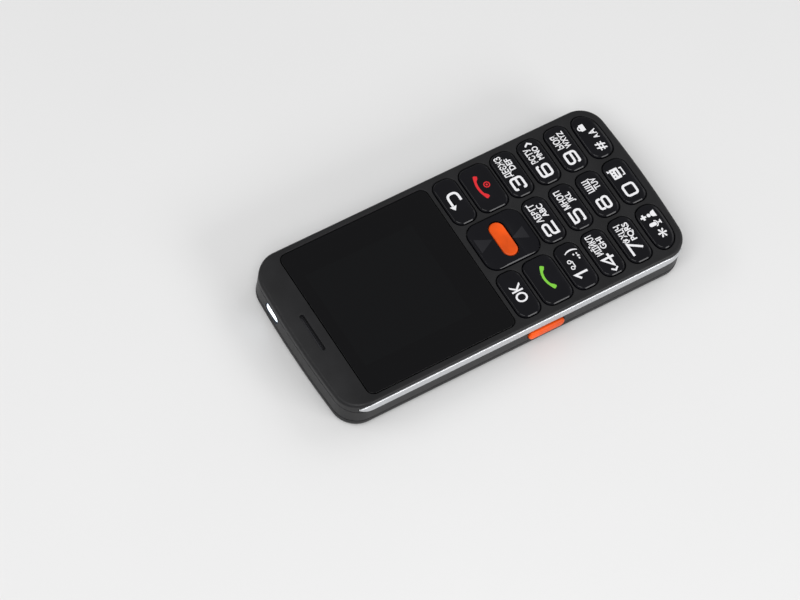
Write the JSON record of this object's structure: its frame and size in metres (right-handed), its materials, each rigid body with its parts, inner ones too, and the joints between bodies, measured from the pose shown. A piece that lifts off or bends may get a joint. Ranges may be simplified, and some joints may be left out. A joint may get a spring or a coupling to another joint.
{
  "type": "mobile phone",
  "caption": "Bar-shaped mobile phone with large raised keys, display window, silver side bands, side key and torch; its battery cover slides.",
  "frame": {"origin": "middle of the flat back face of the battery cover", "axes": "+X to the phone's right-hand side, +Y towards the earpiece end, +Z out of the display"},
  "size_m": [0.0593, 0.124, 0.0139],
  "materials": {
    "housing_plastic": "fine satin texture, near black",
    "cover_plastic": "fine matte texture, near black",
    "key_plastic": "polished, blue-black, with printed figures",
    "display_window": "polished and smoked",
    "silver_trim": "satin silver",
    "orange_plastic": "satin orange",
    "clear_lens": "clear moulded lens",
    "display_glass": "dark polished glass",
    "circuit_board": "solder mask over copper tracks",
    "tinned_steel": "bright tin plate",
    "screw_steel": "zinc plated",
    "dome_foil": "milky film over metal domes",
    "keypad_rubber": "matte silicone",
    "battery_can": "printed film wrap over a metal can",
    "component_plastic": "moulded black",
    "led_phosphor": "yellow phosphor under clear resin"
  },
  "bodies": {
    "phone_body": {"rear_housing": "housing_plastic", "front_housing": "housing_plastic", "display_window": "display_window", "left_side_band": "silver_trim", "right_side_band": "silver_trim", "earpiece_grille": "tinned_steel", "earpiece_receiver": "component_plastic", "lcd_frame": "tinned_steel", "lcd_panel": "display_glass", "main_board": "circuit_board", "dome_sheet": "dome_foil", "keypad_mat": "keypad_rubber", "side_key_switch": "tinned_steel", "battery": "battery_can", "battery_contact_block": "component_plastic", "torch_lens": "clear_lens", "torch_led": "led_phosphor", "usb_socket": "tinned_steel", "headset_socket": "component_plastic", "microphone": "tinned_steel", "sim_holder_a": "tinned_steel", "sim_holder_b": "tinned_steel", "memory_card_holder": "tinned_steel", "processor_shield": "tinned_steel", "radio_shield": "tinned_steel", "loudspeaker": "component_plastic", "vibration_motor": "tinned_steel", "antenna": "component_plastic", "screw_bottom_left": "screw_steel", "screw_bottom_right": "screw_steel", "screw_middle_left": "screw_steel", "screw_middle_right": "screw_steel", "screw_top_left": "screw_steel", "screw_top_right": "screw_steel"},
    "sliding_cover": {"battery_cover": "cover_plastic"},
    "button_1": {"key_1": "key_plastic"},
    "button_2": {"key_2": "key_plastic"},
    "button_3": {"key_3": "key_plastic"},
    "button_4": {"key_4": "key_plastic"},
    "button_5": {"key_5": "key_plastic"},
    "button_6": {"key_6": "key_plastic"},
    "button_7": {"key_7": "key_plastic"},
    "button_8": {"key_8": "key_plastic"},
    "button_9": {"key_9": "key_plastic"},
    "button_star": {"key_star": "key_plastic"},
    "button_0": {"key_0": "key_plastic"},
    "button_hash": {"key_hash": "key_plastic"},
    "button_ok": {"ok_key": "key_plastic"},
    "button_back": {"back_key": "key_plastic"},
    "button_call": {"call_key": "key_plastic"},
    "button_end": {"end_key": "key_plastic"},
    "rocker": {"nav_rocker": "key_plastic"},
    "bar": {"nav_bar": "orange_plastic"},
    "side_button": {"side_key": "orange_plastic"}
  },
  "joints": [
    {"name": "cover_slide", "type": "slide", "parent": "phone_body", "child": "sliding_cover", "axis": [0, -1, 0], "range_m": [0, 0.008]},
    {"name": "press_1", "type": "slide", "parent": "phone_body", "child": "button_1", "axis": [0, 0, -1], "range_m": [0, 0.00035], "stiffness_N_per_m": 400},
    {"name": "press_2", "type": "slide", "parent": "phone_body", "child": "button_2", "axis": [0, 0, -1], "range_m": [0, 0.00035], "stiffness_N_per_m": 400},
    {"name": "press_3", "type": "slide", "parent": "phone_body", "child": "button_3", "axis": [0, 0, -1], "range_m": [0, 0.00035], "stiffness_N_per_m": 400},
    {"name": "press_4", "type": "slide", "parent": "phone_body", "child": "button_4", "axis": [0, 0, -1], "range_m": [0, 0.00035], "stiffness_N_per_m": 400},
    {"name": "press_5", "type": "slide", "parent": "phone_body", "child": "button_5", "axis": [0, 0, -1], "range_m": [0, 0.00035], "stiffness_N_per_m": 400},
    {"name": "press_6", "type": "slide", "parent": "phone_body", "child": "button_6", "axis": [0, 0, -1], "range_m": [0, 0.00035], "stiffness_N_per_m": 400},
    {"name": "press_7", "type": "slide", "parent": "phone_body", "child": "button_7", "axis": [0, 0, -1], "range_m": [0, 0.00035], "stiffness_N_per_m": 400},
    {"name": "press_8", "type": "slide", "parent": "phone_body", "child": "button_8", "axis": [0, 0, -1], "range_m": [0, 0.00035], "stiffness_N_per_m": 400},
    {"name": "press_9", "type": "slide", "parent": "phone_body", "child": "button_9", "axis": [0, 0, -1], "range_m": [0, 0.00035], "stiffness_N_per_m": 400},
    {"name": "press_star", "type": "slide", "parent": "phone_body", "child": "button_star", "axis": [0, 0, -1], "range_m": [0, 0.00035], "stiffness_N_per_m": 400},
    {"name": "press_0", "type": "slide", "parent": "phone_body", "child": "button_0", "axis": [0, 0, -1], "range_m": [0, 0.00035], "stiffness_N_per_m": 400},
    {"name": "press_hash", "type": "slide", "parent": "phone_body", "child": "button_hash", "axis": [0, 0, -1], "range_m": [0, 0.00035], "stiffness_N_per_m": 400},
    {"name": "press_ok", "type": "slide", "parent": "phone_body", "child": "button_ok", "axis": [0, 0, -1], "range_m": [0, 0.00035], "stiffness_N_per_m": 400},
    {"name": "press_back", "type": "slide", "parent": "phone_body", "child": "button_back", "axis": [0, 0, -1], "range_m": [0, 0.00035], "stiffness_N_per_m": 400},
    {"name": "press_call", "type": "slide", "parent": "phone_body", "child": "button_call", "axis": [0, 0, -1], "range_m": [0, 0.00035], "stiffness_N_per_m": 400},
    {"name": "press_end", "type": "slide", "parent": "phone_body", "child": "button_end", "axis": [0, 0, -1], "range_m": [0, 0.00035], "stiffness_N_per_m": 400},
    {"name": "rocker_tilt", "type": "hinge", "parent": "phone_body", "child": "rocker", "pos_m": [0, -0.01095, 0.01145], "axis": [1, 0, 0], "range_deg": [-2, 2], "stiffness_Nm_per_rad": 0.05},
    {"name": "press_bar", "type": "slide", "parent": "phone_body", "child": "bar", "axis": [0, 0, -1], "range_m": [0, 0.0003], "stiffness_N_per_m": 400},
    {"name": "press_side", "type": "slide", "parent": "phone_body", "child": "side_button", "axis": [1, 0, 0], "range_m": [0, 0.0004], "stiffness_N_per_m": 400}
  ]
}
